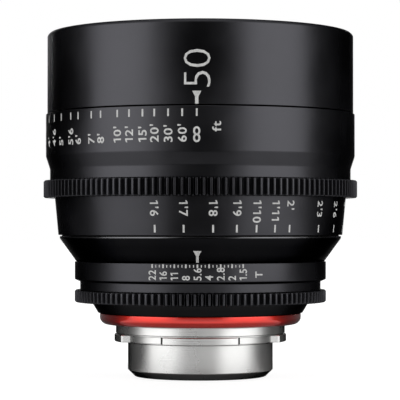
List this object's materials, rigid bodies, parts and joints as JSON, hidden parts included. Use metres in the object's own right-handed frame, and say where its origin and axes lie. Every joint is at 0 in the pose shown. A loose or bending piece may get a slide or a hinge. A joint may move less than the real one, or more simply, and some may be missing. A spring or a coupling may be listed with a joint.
{
  "type": "prime lens",
  "caption": "Cine prime lens with a locking-collar mount, a geared focus ring, a geared iris ring, a bladed iris and a threaded front, standing on its mount.",
  "frame": {"origin": "centre of the mount tube's rear end, on which the lens stands", "axes": "+Z is the optical axis towards the subject, -Y the side with the index lines"},
  "size_m": [0.1168, 0.1168, 0.1273],
  "materials": {
    "black_anodised": "black hard-anodised, satin",
    "red_anodised": "red anodised, satin",
    "stainless": "fine-turned stainless steel",
    "coated_glass": "polished optical glass with an anti-reflection coating",
    "shoe_brass": "turned bearing bronze",
    "blade_steel": "blackened spring steel"
  },
  "bodies": {
    "housing": {"lens_mount": "stainless", "red_ring": "red_anodised", "rear_hub": "black_anodised", "main_barrel": "black_anodised", "front_ring": "black_anodised"},
    "focus_ring": {"focus_ring": "black_anodised"},
    "iris_ring": {"iris_ring": "black_anodised", "iris_drive_bar": "blade_steel"},
    "optical_block": {"lens_barrel": "black_anodised", "helicoid_shoe_1": "shoe_brass", "helicoid_shoe_2": "shoe_brass", "helicoid_shoe_3": "shoe_brass", "front_element": "coated_glass", "front_retaining_ring": "black_anodised", "middle_element": "coated_glass", "rear_element": "coated_glass", "rear_retaining_ring": "black_anodised"},
    "iris_cam": {"iris_cam_ring": "black_anodised"},
    "blade_01": {"iris_blade_01": "blade_steel"},
    "blade_02": {"iris_blade_02": "blade_steel"},
    "blade_03": {"iris_blade_03": "blade_steel"},
    "blade_04": {"iris_blade_04": "blade_steel"},
    "blade_05": {"iris_blade_05": "blade_steel"},
    "blade_06": {"iris_blade_06": "blade_steel"},
    "blade_07": {"iris_blade_07": "blade_steel"},
    "blade_08": {"iris_blade_08": "blade_steel"},
    "blade_09": {"iris_blade_09": "blade_steel"},
    "blade_10": {"iris_blade_10": "blade_steel"},
    "blade_11": {"iris_blade_11": "blade_steel"}
  },
  "joints": [
    {"name": "focus_turn", "type": "hinge", "parent": "housing", "child": "focus_ring", "pos_m": [0, 0, 0.0748], "axis": [0, 0, 1], "range_deg": [0, 200]},
    {"name": "block_slide", "type": "slide", "parent": "housing", "child": "optical_block", "axis": [0, 0, 1], "range_m": [0, 0.0072]},
    {"name": "iris_turn", "type": "hinge", "parent": "housing", "child": "iris_ring", "pos_m": [0, 0, 0.0351], "axis": [0, 0, 1], "range_deg": [-20, 20]},
    {"name": "iris_cam_turn", "type": "hinge", "parent": "optical_block", "child": "iris_cam", "pos_m": [0, 0, 0.06159], "axis": [0, 0, 1], "range_deg": [-20, 20]},
    {"name": "blade_01_turn", "type": "hinge", "parent": "optical_block", "child": "blade_01", "pos_m": [0.0255, 0, 0.0591], "axis": [0, 0, 1], "range_deg": [-18.85, 18.85]},
    {"name": "blade_02_turn", "type": "hinge", "parent": "optical_block", "child": "blade_02", "pos_m": [0.02145, 0.01379, 0.0591], "axis": [0, 0, 1], "range_deg": [-18.85, 18.85]},
    {"name": "blade_03_turn", "type": "hinge", "parent": "optical_block", "child": "blade_03", "pos_m": [0.01059, 0.0232, 0.0591], "axis": [0, 0, 1], "range_deg": [-18.85, 18.85]},
    {"name": "blade_04_turn", "type": "hinge", "parent": "optical_block", "child": "blade_04", "pos_m": [-0.00363, 0.02524, 0.0591], "axis": [0, 0, 1], "range_deg": [-18.85, 18.85]},
    {"name": "blade_05_turn", "type": "hinge", "parent": "optical_block", "child": "blade_05", "pos_m": [-0.0167, 0.01927, 0.0591], "axis": [0, 0, 1], "range_deg": [-18.85, 18.85]},
    {"name": "blade_06_turn", "type": "hinge", "parent": "optical_block", "child": "blade_06", "pos_m": [-0.02447, 0.00718, 0.0591], "axis": [0, 0, 1], "range_deg": [-18.85, 18.85]},
    {"name": "blade_07_turn", "type": "hinge", "parent": "optical_block", "child": "blade_07", "pos_m": [-0.02447, -0.00718, 0.0591], "axis": [0, 0, 1], "range_deg": [-18.85, 18.85]},
    {"name": "blade_08_turn", "type": "hinge", "parent": "optical_block", "child": "blade_08", "pos_m": [-0.0167, -0.01927, 0.0591], "axis": [0, 0, 1], "range_deg": [-18.85, 18.85]},
    {"name": "blade_09_turn", "type": "hinge", "parent": "optical_block", "child": "blade_09", "pos_m": [-0.00363, -0.02524, 0.0591], "axis": [0, 0, 1], "range_deg": [-18.85, 18.85]},
    {"name": "blade_10_turn", "type": "hinge", "parent": "optical_block", "child": "blade_10", "pos_m": [0.01059, -0.0232, 0.0591], "axis": [0, 0, 1], "range_deg": [-18.85, 18.85]},
    {"name": "blade_11_turn", "type": "hinge", "parent": "optical_block", "child": "blade_11", "pos_m": [0.02145, -0.01379, 0.0591], "axis": [0, 0, 1], "range_deg": [-18.85, 18.85]}
  ],
  "couplings": [
    {"joint": "focus_turn", "follows": "block_slide", "rad_per_m": 484.81},
    {"joint": "iris_cam_turn", "follows": "iris_turn", "ratio": 1},
    {"joint": "blade_01_turn", "follows": "iris_turn", "ratio": 0.942},
    {"joint": "blade_02_turn", "follows": "iris_turn", "ratio": 0.942},
    {"joint": "blade_03_turn", "follows": "iris_turn", "ratio": 0.942},
    {"joint": "blade_04_turn", "follows": "iris_turn", "ratio": 0.942},
    {"joint": "blade_05_turn", "follows": "iris_turn", "ratio": 0.942},
    {"joint": "blade_06_turn", "follows": "iris_turn", "ratio": 0.942},
    {"joint": "blade_07_turn", "follows": "iris_turn", "ratio": 0.942},
    {"joint": "blade_08_turn", "follows": "iris_turn", "ratio": 0.942},
    {"joint": "blade_09_turn", "follows": "iris_turn", "ratio": 0.942},
    {"joint": "blade_10_turn", "follows": "iris_turn", "ratio": 0.942},
    {"joint": "blade_11_turn", "follows": "iris_turn", "ratio": 0.942}
  ]
}
